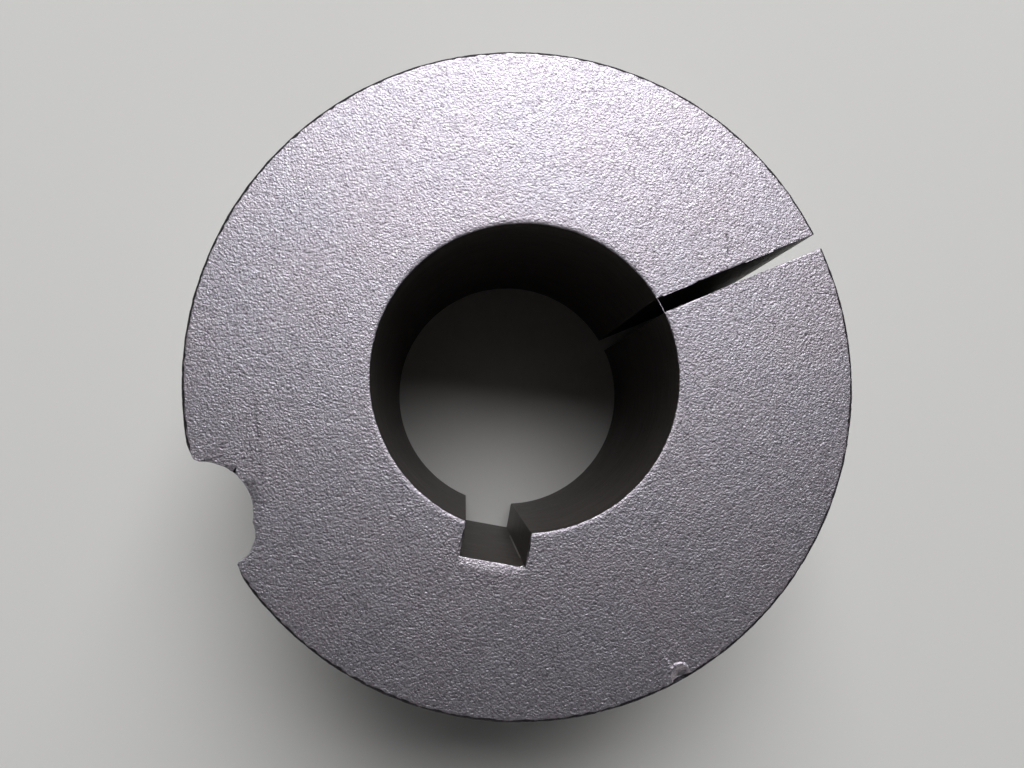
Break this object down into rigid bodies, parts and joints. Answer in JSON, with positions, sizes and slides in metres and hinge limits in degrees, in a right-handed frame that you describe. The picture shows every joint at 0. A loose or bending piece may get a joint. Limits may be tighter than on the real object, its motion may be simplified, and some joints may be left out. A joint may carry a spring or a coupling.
{
  "type": "taper bush",
  "caption": "Split clamping bush with a tapered outside, a parallel bore with a keyway, a saw-cut slit, and half-holes for set screws.",
  "frame": {"origin": "centre of the bore in the plane of the large end", "axes": "+Z along the bore axis towards the small end, -Y through the middle of the keyway"},
  "size_m": [0.0698, 0.0698, 0.0318],
  "materials": {
    "blasted_iron": "grey, shot-blasted and phosphated, fine rough grain with bright points, darker worn bore"
  },
  "bodies": {
    "root": {"taper_bush": "blasted_iron"}
  },
  "joints": []
}
